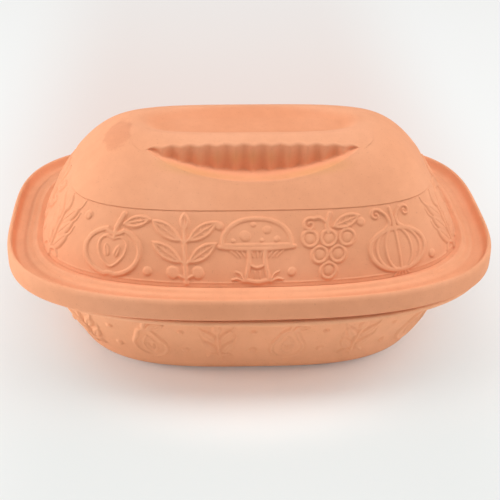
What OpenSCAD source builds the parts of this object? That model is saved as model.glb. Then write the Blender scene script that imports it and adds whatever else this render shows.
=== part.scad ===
// Covered clay roaster: an oval pot with a flanged rim, and a domed lid that rests on it.
// Millimetres. X runs along the length, Y from front to back, Z up from the table.

/* [Overall] */
// Length of the lid's rim, the widest part of the roaster
lid_length = 345; // [320:1:370]
// Width of the lid's rim from front to back
lid_width = 240; // [220:1:255]
// Height of the pot, up to the face that the lid rests on
pot_height = 72; // [64:1:84]
// Height of the lid's crest over that face
lid_rise = 86; // [78:1:96]

/* [Lid rim] */
// Height of the upright band round the lid's edge
band_height = 15; // [12:0.5:18]
// Depth of the channel behind the raised rim
channel_depth = 5; // [3:0.5:7]
// Width of the raised rim's crest
rim_crest = 4; // [3:0.5:5]
// Width of the channel's floor
channel_floor = 4; // [3:0.5:6]
// Run of the rim's sloping inner wall
rim_wall_run = 3; // [2:0.5:4]
// Width of each of the two low ridges between the channel and the dome
ridge_width = 6; // [4:0.5:7]
// Height of those ridges
ridge_height = 1.2; // [0.5:0.1:2]
// Rounding of the rim's edges
edge_round = 1.2; // [0.6:0.1:2]

/* [Dome] */
// Length of the dome's crest, where it turns into the dished top
crest_length = 151; // [130:1:170]
// Width of the dome's crest
crest_width = 45; // [38:1:48]
// Depth of the dish in the lid's top
dish_depth = 3; // [1:0.5:5]
// Width of the slope from the crest down into the dish
dish_slope = 10; // [6:0.5:14]
// Fullness of the dome's ends, a higher value is a fuller shoulder
end_fullness = 2.0; // [1.6:0.05:2.3]
// Fullness of the dome's long sides
side_fullness = 1.5; // [1.3:0.05:1.7]
// Height of the sunk frieze round the dome's foot
frieze_height = 40; // [34:1:46]
// How far the frieze's ground lies below the dome's surface
frieze_sink = 1.2; // [0.6:0.1:2]
// Thickness of the lid's clay
lid_wall = 8; // [6:0.5:10]

/* [Finger recesses] */
// Distance between the two fluted walls, the width of the grip
grip_width = 66; // [60:1:72]
// Length of each recess from tip to tip
recess_length = 150; // [130:1:160]
// Depth of each recess below the crest
recess_depth = 22; // [16:0.5:26]
// Radius of the recess floor from front to back
recess_sweep = 80; // [60:1:120]
// Distance from one flute to the next
flute_pitch = 12.3; // [9:0.1:16]
// Depth of a flute
flute_depth = 2.6; // [1.5:0.1:4]

/* [Seat] */
// Depth of the ridge under the lid that drops into the pot's mouth
locating_depth = 4; // [2:0.5:6]
// Width of that ridge
locating_width = 6; // [4:0.5:8]
// Play between the ridge and the pot's mouth, on each side
locating_play = 2; // [1.5:0.1:3]
// Degrees by which the lid sits turned on the pot, within its play
lid_turn = 0.8; // [-0.9:0.1:0.9]

/* [Pot] */
// How far the pot's flange stays inside the lid's rim
flange_inset = 1.5; // [0.5:0.1:3]
// Thickness of the pot's flange
flange_height = 9; // [6:0.5:12]
// Length of the pot's body where it meets the flange
body_length = 314; // [300:1:320]
// Width of the pot's body where it meets the flange
body_width = 198; // [186:1:204]
// Length of the pot's foot before its edge is rounded
foot_length = 242; // [220:1:260]
// Width of the pot's foot before its edge is rounded
foot_width = 164; // [150:1:176]
// Rounding of the foot's edge
foot_round = 9; // [5:0.5:14]
// Thickness of the pot's wall
pot_wall = 8; // [6:0.5:10]
// Thickness of the pot's floor
floor_thick = 9; // [7:0.5:12]
// Rounding inside, where the floor meets the wall
floor_round = 16; // [8:1:24]
// Height over the table at which the pot's frieze starts
pot_frieze_from = 14; // [12:1:18]

/* [Relief] */
// How far the raised figures stand out
relief_height = 1.2; // [0.6:0.1:2]
// Width of a raised line
line_width = 2.4; // [1.6:0.1:3.2]
// Diameter of the round studs between the lid's figures
stud_diameter = 5.5; // [4:0.5:8]
// Height of a figure on the lid
figure_height = 41; // [32:1:42]
// Number of figures round the lid
lid_figures = 16; // [12:2:18]
// Height of a figure on the pot
pot_figure_height = 32; // [24:1:36]
// Height over the table of the middle of the pot's figures
pot_figure_level = 32; // [28:1:40]
// Number of figures round the pot
pot_figures = 16; // [8:2:20]

/* [Smoothness] */
// Number of sides of each oval outline
around = 48; // [40:4:96]
// Number of sides of the outlines of the two hollows
inside = 28; // [28:4:64]
// Number of steps up the dome between the frieze and the crest
dome_steps = 4; // [3:1:10]
// Number of steps up the frieze
frieze_steps = 2; // [2:1:6]
// Number of steps across each flute
flute_steps = 4; // [4:2:8]

/* [Hidden] */
clay = [0.89, 0.60, 0.46];

// Exponents of the oval outlines, [along the length, across it]: 2 is an ellipse, more is squarer
rim_shape = [2.7, 3.2];
crest_shape = [3.5, 4.2];
body_shape = [3.2, 2.8];
flange_shape = [2.6, 2.9];
dome_lean = 1.07;
// Half height of the ellipsoid that scoops out a finger recess, and how far its tips lie below the crest
scoop_rise = 110;
recess_brim = 3.5;
// The sunk frieze's lower and upper edges, as shares of its height
frieze_span = [0.03, 0.98];
// Height at which the figures are drawn, how deep their prisms reach, and the studs' distance from mid height
drawn_height = 36;
prism_depth = 14;
stud_share = 0.36;
eps = 0.01;

rim = [lid_length / 2, lid_width / 2];
crest = [crest_length / 2, crest_width / 2];
seat_z = pot_height;
rim_z = seat_z + band_height;
crest_z = seat_z + lid_rise;
channel_z = rim_z - channel_depth;
rim_slope = rim_crest + rim_wall_run;
flange_run = rim_slope + channel_floor + 2 * ridge_width;
dome_foot_z = channel_z + 2 * ridge_height;
dome_foot = rim - [flange_run, flange_run];

body = [body_length / 2, body_width / 2];
foot = [foot_length / 2, foot_width / 2];
body_top_z = pot_height - flange_height;
pot_flange = rim - [flange_inset, flange_inset];
mouth = body - [pot_wall, pot_wall];
locating = mouth - [locating_play, locating_play];
hollow_mouth = locating - [locating_width, locating_width];

// Signed power, for the ovals' formula
function spow(v, p) = sign(v) * pow(abs(v), p);

// Points of an oval with the half sizes s and the shape exponents k
function oval(s, k, n = around) = [for (i = [0:n - 1]) let (t = i * 360 / n)
    [s[0] * spow(cos(t), 2 / k[0]), s[1] * spow(sin(t), 2 / k[1])]];

function mix(a, b, w) = a + (b - a) * w;

// One ring of a loft: half sizes, height and shape exponents
function ring(s, z, k, n = around) = [for (p = oval(s, k, n)) [p[0], p[1], z]];

// A solid skinned through a list of rings, closed at both ends
module loft(rings) {
    n = len(rings[0]);
    top = (len(rings) - 1) * n;
    sides = [for (r = [0:n:top - n]) for (i = [0:n - 1]) let (a = r + i, b = r + (i + 1) % n)
        each [[a, a + n, b], [b, a + n, b + n]]];
    first = [[for (i = [0:n - 1]) i]];
    last = [[for (i = [n - 1:-1:0]) top + i]];
    polyhedron(points = [for (r = rings) each r], faces = concat(sides, first, last));
}

// Share of the dome's spread that is left at the height share t, for a given fullness
function spread(t, fullness) = pow(max(0, 1 - pow(t, dome_lean)), 1 / fullness);

// One ring of the dome, from its foot at t = 0 to its crest at t = 1
function dome_half(t, low) = [mix(crest[0], low[0], spread(t, end_fullness)),
    mix(crest[1], low[1], spread(t, side_fullness))];

function dome_ring(t, low, low_z, high_z, out = 0, n = around) =
    ring(dome_half(t, low) + [out, out], mix(low_z, high_z, t), mix(rim_shape, crest_shape, t), n);

frieze_share = frieze_height / (crest_z - dome_foot_z);
function frieze_t(i) = mix(frieze_span[0], frieze_span[1], i / frieze_steps) * frieze_share;

// The lid's outside as a solid, from the locating ridge up to the dished top
module lid_outside() {
    ridges = [[0, 0], [ridge_width / 2, ridge_height]];
    inner = rim_slope + channel_floor;
    loft(concat(
        [ring(locating - [edge_round, edge_round], seat_z - locating_depth, body_shape),
         ring(locating, seat_z, body_shape),
         ring(rim - [edge_round, edge_round], seat_z, rim_shape),
         ring(rim, seat_z + edge_round, rim_shape),
         ring(rim, rim_z - edge_round, rim_shape),
         ring(rim - [rim_crest / 3, rim_crest / 3], rim_z, rim_shape),
         ring(rim - [rim_crest, rim_crest], rim_z - edge_round / 2, rim_shape),
         ring(rim - [rim_slope, rim_slope], channel_z, rim_shape)],
        [for (n = [0, 1], r = ridges) let (d = inner + n * ridge_width + r[0])
            ring(rim - [d, d], channel_z + n * ridge_height + r[1], rim_shape)],
        [dome_ring(0, dome_foot, dome_foot_z, crest_z)],
        [for (i = [0:frieze_steps]) dome_ring(frieze_t(i), dome_foot, dome_foot_z, crest_z, -frieze_sink)],
        [for (i = [0:dome_steps]) let (t = mix(frieze_share, 1, 1 - pow(1 - i / dome_steps, 1.6)))
            dome_ring(t, dome_foot, dome_foot_z, crest_z)],
        [ring(crest - [dish_slope, dish_slope] / 3, crest_z - dish_depth * 0.35, crest_shape),
         ring(crest - [dish_slope, dish_slope], crest_z - dish_depth, crest_shape)]));
}

// Plan of the fluted wall, hollow flutes between narrow ridges, with the recess lying behind it
function flute_y(x) = grip_width / 2 + flute_depth * (0.5 - abs(sin(180 * x / flute_pitch)));
function fluted_edge() = let (step = flute_pitch / flute_steps, n = ceil(recess_length / 2 / step) - 1)
    [for (i = [-n - 1:n + 1]) let (x = abs(i) > n ? sign(i) * recess_length / 2 : i * step) [x, flute_y(x)]];

// The body of one finger recess, behind the grip, or grown by the clay that backs it
module recess(grow = 0) {
    wall_y = grip_width / 2 - grow;
    reach = lid_width / 2;
    tip_share = 1 - (recess_depth - recess_brim) / scoop_rise;
    half_long = recess_length / 2 / sqrt(1 - tip_share * tip_share);
    half_deep = sqrt(recess_sweep * scoop_rise);
    intersection() {
        translate([0, grip_width / 2, crest_z - recess_depth + scoop_rise])
            scale([half_long + grow, half_deep + grow, scoop_rise + grow])
                rotate([90, 0, 0]) sphere(r = 1, $fn = grow > 0 ? 16 : 36);
        translate([0, 0, dome_foot_z]) linear_extrude(height = crest_z + eps - dome_foot_z + grow)
            polygon(grow > 0 ? [[-reach, wall_y], [reach, wall_y], [reach, reach], [-reach, reach]]
                : concat(fluted_edge(), [[recess_length / 2, reach], [-recess_length / 2, reach]]));
    }
}

module both_recesses(grow = 0) {
    for (turn = [0, 180]) rotate(turn) recess(grow);
}

// The lid's hollow, with the clay behind the finger recesses left standing
module lid_hollow() {
    low = dome_foot - [lid_wall, lid_wall];
    top_z = crest_z - dish_depth - lid_wall;
    difference() {
        loft(concat(
            [ring(hollow_mouth, seat_z - locating_depth - eps, body_shape, inside),
             ring(hollow_mouth, seat_z, body_shape, inside)],
            [for (i = [0:dome_steps]) let (t = 1 - pow(1 - i / dome_steps, 1.5))
                dome_ring(t, low, dome_foot_z, top_z, 0, inside)]));
        both_recesses(lid_wall);
    }
}

// Points of an arc of an ellipse, for the raised lines
function arc(x, y, rx, ry, from, to, n = 7) = [for (i = [0:n]) let (a = mix(from, to, i / n))
    [x + rx * cos(a), y + ry * sin(a)]];

// Direction of a line at each of its points
function heading(p, i) = let (d = p[min(i + 1, len(p) - 1)] - p[max(i - 1, 0)]) d / norm(d);
function beside(p, w) = [for (i = [0:len(p) - 1]) let (d = heading(p, i)) p[i] + w * [-d[1], d[0]]];

// A raised line of even width through a row of points
module band(points, w = line_width) {
    n = len(points);
    back = beside(points, -w / 2);
    polygon(concat(beside(points, w / 2), [for (i = [n - 1:-1:0]) back[i]]));
}

module bar(from, to, w = line_width) {
    band([from, to], w);
}

module dot(x, y, d) {
    translate([x, y]) circle(d = d, $fn = 6);
}

// A leaf, long and pointed at both ends
module leaf(x, y, turn, long, wide) {
    translate([x, y]) rotate(turn) hull() for (side = [-1, 1])
        translate([side * (long - wide) / 2, 0]) circle(d = wide, $fn = 4);
}

// A grain of wheat, thick at its base
module grain(x, y, turn, long, wide) {
    translate([x, y]) rotate(turn)
        polygon([[-long / 2, 0], [-long / 6, -wide / 2], [long / 2, 0], [-long / 6, wide / 2]]);
}

// The figures, each drawn about its own centre
module grapes() {
    for (row = [0:2], i = [0:row]) dot((i - row / 2) * 10.5, -13 + row * 9, 10);
    bar([0, 8], [1, 18]);
    leaf(10, 14, 20, 16, 7);
}

module wheat(rows = 3) {
    bar([0, -18], [0, 12]);
    for (i = [0:rows - 1], side = [-1, 1]) grain(side * 6.5, 12 - 24 * (i + 0.5) / rows, 90 - side * 35, 13, 6);
    grain(0, 14, 90, 9, 6);
}

module apple() {
    band(arc(0, -4, 17, 14, 97, 443, 8));
    bar([0, 4], [3, 17]);
    leaf(11, 14, 15, 15, 6);
}

module mushroom() {
    band(arc(0, 1, 19, 16, 0, 180, 6));
    bar([-20, 1], [20, 1]);
    band([[-5, 0], [-8, -17], [8, -17], [5, 0]]);
    dot(-6, 7, 6);
}

module sprig() {
    bar([0, -18], [0, 18]);
    for (i = [0:1], side = [-1, 1]) leaf(side * 10, -2 + i * 12, 90 - side * 55, 19, 7);
    for (side = [-1, 1]) dot(side * 7, -13, 7);
}

module onion() {
    band(arc(0, -5, 18, 13, 100, 440, 8));
    band(arc(0, -5, 8, 12, 110, 430, 5));
    bar([0, 5], [0, 17], 6);
}

module pear_body(less) {
    hull() {
        dot(0, -7, 24 - less);
        dot(0, 6, 12 - less);
    }
}

module pear() {
    difference() {
        pear_body(0);
        pear_body(2 * line_width);
    }
    bar([0, 9], [2, 18]);
    grain(8, 14, 20, 13, 6);
}

module figure(kind) {
    if (kind == 0 || kind == 3) sprig();
    if (kind == 1 || kind == 7) wheat();
    if (kind == 2) apple();
    if (kind == 4) mushroom();
    if (kind == 5) grapes();
    if (kind == 6) onion();
}

// Running length along an oval up to each of its points, and the place at a share of the whole
function lengths(p, i = 0, sum = 0) = i == len(p) ? [sum]
    : concat([sum], lengths(p, i + 1, sum + norm(p[(i + 1) % len(p)] - p[i])));
function on_oval(p, share) = let (l = lengths(p), s = share * l[len(p)],
    i = [for (k = [0:len(p) - 1]) if (l[k] <= s && s < l[k + 1]) k][0],
    a = p[i], b = p[(i + 1) % len(p)])
    [each mix(a, b, (s - l[i]) / (l[i + 1] - l[i])), atan2(b[1] - a[1], b[0] - a[0])];

// Stands a drawing on the wall of an oval at a share of its length; lean is how far the wall
// tips inwards going up, at the ends and at the sides
module on_wall(s, k, z, share, lean) {
    p = on_oval(oval(s, k), share);
    translate([p[0], p[1], z]) rotate([90 - mix(lean[0], lean[1], abs(cos(p[2]))), 0, p[2]])
        linear_extrude(height = prism_depth, center = true) children();
}

// Raised figures and studs round the lid, following the dome
module lid_relief() {
    t = frieze_share / 2;
    half = dome_half(t, dome_foot);
    shape = mix(rim_shape, crest_shape, t);
    z = mix(dome_foot_z, crest_z, t);
    run = dome_foot - dome_half(frieze_share, dome_foot);
    lean = [atan2(run[0], frieze_height), atan2(run[1], frieze_height)];
    intersection() {
        loft([for (i = [0:frieze_steps])
            dome_ring(frieze_t(i), dome_foot, dome_foot_z, crest_z, relief_height - frieze_sink)]);
        for (i = [0:lid_figures - 1]) {
            on_wall(half, shape, z, i / lid_figures, lean) scale(figure_height / drawn_height) figure(i % 8);
            on_wall(half, shape, z, (i + 0.5) / lid_figures, lean)
                dot(0, (i % 2 == 0 ? -1 : 1) * figure_height * stud_share, stud_diameter);
        }
    }
}

// The pot's outside, from the foot up to the flange
function body_half(z) = mix(foot, body, z / body_top_z);

module pot_outside() {
    loft(concat(
        [for (a = [0:30:90]) let (z = foot_round * (1 - cos(a)), d = foot_round * (1 - sin(a)))
            ring(body_half(z) - [d, d], z, body_shape)],
        [ring(body_half(pot_frieze_from), pot_frieze_from, body_shape),
         ring(body_half(body_top_z), body_top_z, body_shape),
         ring(pot_flange - [edge_round, edge_round], body_top_z, flange_shape),
         ring(pot_flange, body_top_z + edge_round, flange_shape),
         ring(pot_flange, seat_z - edge_round, flange_shape),
         ring(pot_flange - [edge_round, edge_round], seat_z, flange_shape)]));
}

module pot_hollow() {
    loft(concat(
        [for (a = [0:45:90]) let (z = floor_thick + floor_round * (1 - cos(a)),
            d = floor_round * (1 - sin(a)))
            ring(body_half(z) - [pot_wall + d, pot_wall + d], z, body_shape, inside)],
        [ring(mouth, body_top_z, body_shape, inside), ring(mouth, seat_z + 1, body_shape, inside)]));
}

// Raised figures round the pot: pears and ears of wheat in turn
module pot_relief() {
    lean = [for (i = [0, 1]) -atan2(body[i] - foot[i], body_top_z)];
    intersection() {
        loft([for (z = [pot_frieze_from, body_top_z + eps])
            ring(body_half(z) + [relief_height, relief_height], z, body_shape)]);
        for (i = [0:pot_figures - 1])
            on_wall(body_half(pot_figure_level), body_shape, pot_figure_level, (i + 0.5) / pot_figures, lean)
                scale(pot_figure_height / drawn_height) if (i % 2 == 0) pear(); else wheat(2);
    }
}

module pot() {
    color(clay) difference() {
        union() {
            pot_outside();
            pot_relief();
        }
        pot_hollow();
    }
}

module lid() {
    color(clay) rotate(lid_turn) difference() {
        union() {
            lid_outside();
            lid_relief();
        }
        both_recesses();
        lid_hollow();
    }
}

pot();
lid();
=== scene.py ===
import math

import bpy
import numpy as np
from mathutils import Matrix, Vector


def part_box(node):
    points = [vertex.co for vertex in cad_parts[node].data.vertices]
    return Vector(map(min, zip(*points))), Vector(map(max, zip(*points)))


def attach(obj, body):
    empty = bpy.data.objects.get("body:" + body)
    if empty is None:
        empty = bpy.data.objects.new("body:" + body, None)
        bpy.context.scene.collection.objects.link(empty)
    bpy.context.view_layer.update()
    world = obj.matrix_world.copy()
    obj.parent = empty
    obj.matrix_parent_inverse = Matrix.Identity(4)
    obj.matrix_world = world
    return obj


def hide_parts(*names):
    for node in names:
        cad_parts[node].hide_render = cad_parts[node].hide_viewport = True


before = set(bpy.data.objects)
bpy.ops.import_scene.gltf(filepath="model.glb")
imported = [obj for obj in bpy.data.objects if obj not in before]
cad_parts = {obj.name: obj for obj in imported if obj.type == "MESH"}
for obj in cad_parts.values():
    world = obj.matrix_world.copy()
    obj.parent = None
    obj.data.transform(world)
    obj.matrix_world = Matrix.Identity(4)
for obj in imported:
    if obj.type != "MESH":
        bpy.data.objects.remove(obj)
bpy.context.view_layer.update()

# Sizes of the roaster, in millimetres. An oval has half a length and half a width, and a power for
# each of the two ways: 2 makes an ellipse, and more makes it squarer.
RIM = np.array([172.3, 120.2])
RIM_POWER = (2.62, 3.38)
DOME = np.array([149.5, 98.6])  # the dome's foot, in the rim's channel
CREST = np.array([76.0, 23.0])
CREST_POWER = (3.5, 4.2)
DOME_Z, CREST_Z = 82.0, 158.0
LEAN, END_FULL, SIDE_FULL = 1.07, 2.0, 1.5  # how full the dome is, more is fuller
LID_WALL = 8.0
INNER_TOP = CREST_Z - LID_WALL - 3.0  # top of the hollow inside the lid
LID_TURN = math.radians(0.8)  # the lid rests slightly turned on the pot

# The lid's frieze
FRIEZE = 42.4 / (CREST_Z - DOME_Z)  # as a share of the dome's height
SPAN = (0.01, 0.98)  # the part of it that its own mesh covers
SINK, SINK_ABOVE = 1.2, 0.75  # depth of its ground, and at its upper edge
FIGURES = 16  # on the lid, and also on the pot
LID_FIGURE, LID_RELIEF, LID_STUD = 43.0, 1.2, 5.8
FOOT_LINE, FOOT_LINE_HIGH = 2.5, 0.45  # a fine line under the figures, of a lower relief

# The grip, and the finger recesses behind its fluted walls
GRIP, GRIP_FLAT, GRIP_ROUND = 33.0, 70.0, 14.0  # half its width, half its length, and its ends' round
RECESS_LONG, RECESS_DEEP, RECESS_SWEEP = 150.0, 23.0, 80.0
SCOOP, BRIM = 110.0, 4.5  # half the height of the ellipsoid, and how low the recess's tips lie
PITCH, FLUTE, FLUTES_END = 12.3, 2.6, 80.0
BROW = 0.55  # depth of the flutes at the wall's upper edge, as a share
TOP_ROUND, LOW_ROUND, DRAFT = 2.2, 1.6, 0.16
LIP_REACH, LIP_BEAD = 4.0, 0.6  # width of the lip to each side, and how far it stands up

# The dish in the crest, the small nick in the crest's back edge and the smudge on the dome
DISH_DEEP, DISH_RUN, DISH_SAG = 4.0, 13.0, 0.25
NICK, NICK_REACH, NICK_DEEP = (46.5, 28.0, 156.5), 2.4, 0.9
SMUDGE = (-92.5, -13.0, 154.2)

# The pot, and the ridge under the lid that drops into its mouth
BODY_POWER = (3.2, 2.8)
BODY, FOOT = np.array([156.5, 98.5]), np.array([120.5, 81.5])
BODY_TOP, SEAT_Z = 65.0, 72.0
FLANGE, FLANGE_POWER = np.array([170.2, 118.5]), (2.6, 2.75)
FLANGE_SHIFT = (1.9, -0.8)  # within the lid's play, as the photograph shows it
MOUTH = np.array([149.0, 91.0])
LOCATING = MOUTH - 2.0  # the ridge's outer face, with its play
HOLLOW = LOCATING - 6.0
LOCATING_Z = SEAT_Z - 4.0
POT_WALL, POT_FLOOR, FLOOR_ROUND, FOOT_ROUND = 8.0, 9.0, 16.0, 9.0
FOOT_RISE = 0.35  # the foot's middle is raised a little
WALL_LOW, WALL_HIGH = 10.5, 62.0  # the part of the wall that has its own mesh
POT_FIGURE, POT_RELIEF, POT_LEVEL = 36.0, 1.4, 33.0
POT_STUDS = ((-10.0, 5.0), (9.0, 4.0))  # height over the figures' middle, and diameter

# A section through the lid's rim: how far in from its edge, and how high
RIM_SECTION = (
    # the seat, and the lower edge that hangs a little below it
    (20, 72.0), (10, 72.0), (4.0, 71.3), (2.2, 70.7), (1.35, 70.74), (0.8, 70.92), (0.4, 71.25),
    (0.14, 71.8), (0.03, 72.4),
    # the band
    (0.0, 73.2), (0.0, 76.0), (0.04, 78.9), (0.1, 80.9), (0.2, 82.4), (0.38, 83.4),
    # the crest
    (0.7, 84.25), (1.1, 84.95), (1.55, 85.45), (2.05, 85.75), (2.5, 85.85), (2.95, 85.8),
    (3.35, 85.5), (3.7, 85.0), (4.0, 84.4),
    # the channel
    (4.3, 83.6), (4.65, 82.65), (5.05, 81.7), (5.5, 80.9), (6.0, 80.28), (6.6, 79.85),
    (7.3, 79.6), (8.2, 79.5), (9.2, 79.5), (10.1, 79.6),
    # the slow rise to the dome
    (10.9, 79.76), (11.6, 79.96), (12.2, 80.16), (12.9, 80.4), (13.7, 80.65), (14.5, 80.86),
    (15.2, 81.03), (15.9, 81.21), (16.6, 81.42), (17.3, 81.65), (18.0, 81.87), (18.7, 82.02),
    (19.4, 82.08), (20.1, 82.02), (20.7, 81.94), (21.3, 81.94), (21.9, 82.0), (22.4, 81.95),
    (22.8, 81.82), (23.2, 81.75), (23.7, 81.9))
# The two low ridges on that rise: how far in, and how much they add
RIDGES = ((9.5, 0.0), (10.6, -0.1), (11.4, 0.0), (12.4, 0.7), (13.4, 1.0), (14.4, 0.85),
          (15.6, 0.3), (16.6, -0.2), (17.2, -0.1), (18.2, 0.6), (19.2, 0.9), (20.2, 0.75),
          (21.2, 0.3), (22.4, 0.0), (24.0, 0.0))
SECTION_RUN = 22.0  # from the lid's edge in to the dome's foot
PARALLEL_TO, PARALLEL_FADE = 7.0, 12.0  # the rows run parallel to the edge up to here
PLAIN_TO, PLAIN_FADE, PLAIN_SHARE = 80.0, 60.0, 0.8  # the ridges are lower along the middle


# Curves and grids of points
def smooth(x):
    x = np.clip(x, 0.0, 1.0)
    return x * x * (3 - 2 * x)


def mix(a, b, w):
    return a + (b - a) * w


def soft_min(a, b, reach):
    """The lower of two values, rounded off where they differ by less than reach."""
    h = np.maximum(reach - np.abs(a - b), 0) / reach
    return np.minimum(a, b) - h * h * reach / 4


def signed_power(v, p):
    return np.sign(v) * np.abs(v) ** p


def oval(angle, half, power):
    x = half[0] * signed_power(np.cos(angle), 2 / power[0])
    y = half[1] * signed_power(np.sin(angle), 2 / power[1])
    return x, y


def run_round(half, power):
    """Fine angles round an oval from its +X end, and the distance along it up to each of them."""
    u = np.linspace(0, 1, 6001)
    quarter_turn = (math.pi / 2) * np.sin(u * math.pi / 2) ** 2
    fine = np.concatenate([quarter_turn[:-1] + i * math.pi / 2 for i in range(4)] + [[2 * math.pi]])
    x, y = oval(fine, half, power)
    return fine, np.concatenate([[0], np.cumsum(np.hypot(np.diff(x), np.diff(y)))])


def even_angles(n, half, power):
    """Angles of n points that are spaced evenly by length round an oval."""
    fine, run = run_round(half, power)
    return np.interp(np.arange(n) / n * run[-1], run, fine)


def girth(half, power):
    return run_round(half, power)[1][-1]


def ring(x, y, z):
    """A row of points, at one height or at a height each."""
    return np.stack([x, y, np.broadcast_to(z, x.shape)], axis=-1)


def quarter(radius, steps):
    """Distances from the two sides of a corner, at steps along its quarter round."""
    for a in np.linspace(0, math.pi / 2, steps):
        yield radius * (1 - math.cos(a)), radius * (1 - math.sin(a))


def grid(rows, cols, closed=True):
    """Quads over a grid of rows; each row runs anticlockwise, rows run up and inwards."""
    r, c = np.meshgrid(np.arange(rows - 1), np.arange(cols if closed else cols - 1), indexing="ij")
    a = r * cols + c
    b = r * cols + (c + 1) % cols
    return np.stack([a, b, b + cols, a + cols], axis=-1).reshape(-1, 4)


def fan(first, cols, centre, up=True):
    """Triangles from a closed row to one point in its middle."""
    a = first + np.arange(cols)
    b = first + (np.arange(cols) + 1) % cols
    c = np.full(cols, centre)
    return np.stack([a, b, c] if up else [b, a, c], axis=-1)


def climb(p):
    """Distance up each column of a grid of points, from its lowest row."""
    steps = np.linalg.norm(np.diff(p, axis=0), axis=-1)
    return np.concatenate([np.zeros((1, p.shape[1])), np.cumsum(steps, axis=0)])


def above(level, levels, up):
    """Distance up each column from the place where it passes a level."""
    return up - np.array([np.interp(level, levels, column) for column in up.T])[None, :]


def raised(p, height, closed):
    """A grid of points, each moved out along the surface's normal by its height."""
    if closed:
        along = np.roll(p, -1, axis=1) - np.roll(p, 1, axis=1)
    else:
        along = np.gradient(p, axis=1)
    normal = np.cross(along, np.gradient(p, axis=0))
    normal /= np.linalg.norm(normal, axis=-1, keepdims=True)
    return p + normal * height[..., None]


def turned(p):
    """Points of the lid, turned a little about the upright axis as it rests on the pot."""
    c, s = math.cos(LID_TURN), math.sin(LID_TURN)
    return np.stack([p[:, 0] * c - p[:, 1] * s, p[:, 0] * s + p[:, 1] * c, p[:, 2]], axis=-1)


def mesh_piece(name, points, quads, tris=None):
    """A smooth mesh from points in millimetres and index arrays."""
    me = bpy.data.meshes.new(name)
    loops = quads.ravel()
    starts = np.arange(0, quads.size, 4)
    if tris is not None:
        starts = np.concatenate([starts, quads.size + np.arange(0, tris.size, 3)])
        loops = np.concatenate([loops, tris.ravel()])
    me.vertices.add(len(points))
    me.vertices.foreach_set("co", (points / 1000).astype(np.float32).ravel())
    me.loops.add(len(loops))
    me.loops.foreach_set("vertex_index", loops.astype(np.int32))
    me.polygons.add(len(starts))
    me.polygons.foreach_set("loop_start", starts.astype(np.int32))
    me.update(calc_edges=True)
    me.validate()
    me.polygons.foreach_set("use_smooth", np.ones(len(me.polygons), dtype=bool))
    me.update()
    ob = bpy.data.objects.new(name, me)
    bpy.context.scene.collection.objects.link(ob)
    return ob


# The dome's form: t is 0 at its foot and 1 at its crest
def left(t, fullness):
    """Share of the way in to the crest that is still left at t."""
    return np.maximum(0, 1 - t ** LEAN) ** (1 / fullness)


def dome_half(t, low=DOME):
    return mix(CREST[0], low[0], left(t, END_FULL)), mix(CREST[1], low[1], left(t, SIDE_FULL))


def dome_power(t):
    return mix(RIM_POWER[0], CREST_POWER[0], t), mix(RIM_POWER[1], CREST_POWER[1], t)


def dome_ring(angle, t, out=0.0, low=DOME, high_z=CREST_Z):
    half = dome_half(t, low)
    return ring(*oval(angle, (half[0] + out, half[1] + out), dome_power(t)), mix(DOME_Z, high_z, t))


def dome_z(x, y):
    """Height of the dome over a place in plan, by bisection."""
    a, b = np.zeros_like(x), np.ones_like(x)
    x, y = np.abs(x), np.abs(y)
    for _ in range(34):
        t = (a + b) / 2
        half, power = dome_half(t), dome_power(t)
        inside = (x / half[0]) ** power[0] + (y / half[1]) ** power[1] < 1
        a, b = np.where(inside, t, a), np.where(inside, b, t)
    return mix(DOME_Z, CREST_Z, (a + b) / 2)


# The ellipsoid that scoops out a recess: half its height is SCOOP, and the recess's tips lie BRIM
# below the crest
TIP = 1 - (RECESS_DEEP - BRIM) / SCOOP
HALF_LONG = RECESS_LONG / 2 / math.sqrt(1 - TIP * TIP)
HALF_WIDE = math.sqrt(RECESS_SWEEP * SCOOP)


def scoop_z(x, y, grow=0.0):
    """Lower face of that ellipsoid, or of one that is larger by grow."""
    q = 1 - (x / (HALF_LONG + grow)) ** 2 - ((np.abs(y) - GRIP) / (HALF_WIDE + grow)) ** 2
    return CREST_Z - RECESS_DEEP + SCOOP - (SCOOP + grow) * np.sqrt(np.maximum(q, 0.0))


def flute_y(x, depth):
    """Plan of the fluted wall: soft ridges with round hollows between them."""
    s = np.sin(math.pi * x / PITCH)
    return GRIP + depth * (0.5 - 0.45 * np.sqrt(s * s + 0.02) - 0.55 * s * s)


def on_grip(x, y, depth):
    """Whether a place in plan lies on the grip, between the two fluted walls."""
    x, y = np.abs(x), np.abs(y)
    end = np.maximum(x - GRIP_FLAT, 0) / GRIP_ROUND
    return end ** 4 + (y / flute_y(np.minimum(x, FLUTES_END), depth)) ** 4 < 1


def sink(t):
    """Depth of the frieze's ground, which comes up a little towards its upper edge."""
    return mix(SINK, SINK_ABOVE, smooth((t / FRIEZE - 0.80) / 0.18))


# Relief drawing: signed distances, below 0 inside a shape, in units of which a figure has 36
DRAWN = 36.0
LINE = 2.3
SOFT = 0.5
SIDES = (-1, 1)


def solid(d, soft=SOFT):
    return smooth((soft - d) / (2 * soft))


def mound(d, width):
    """A rounded mound: 0 at the edge of a shape, 1 at a depth of width inside it."""
    u = np.clip(-d / width, 0, 1)
    return np.sqrt(1 - (1 - u) ** 2)


def outlined(d, edge=1.2):
    """A low body with a raised edge."""
    return top(0.3 * solid(d), solid(np.abs(d + edge) - edge))


def top(*parts):
    return np.maximum.reduce(parts)


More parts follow.
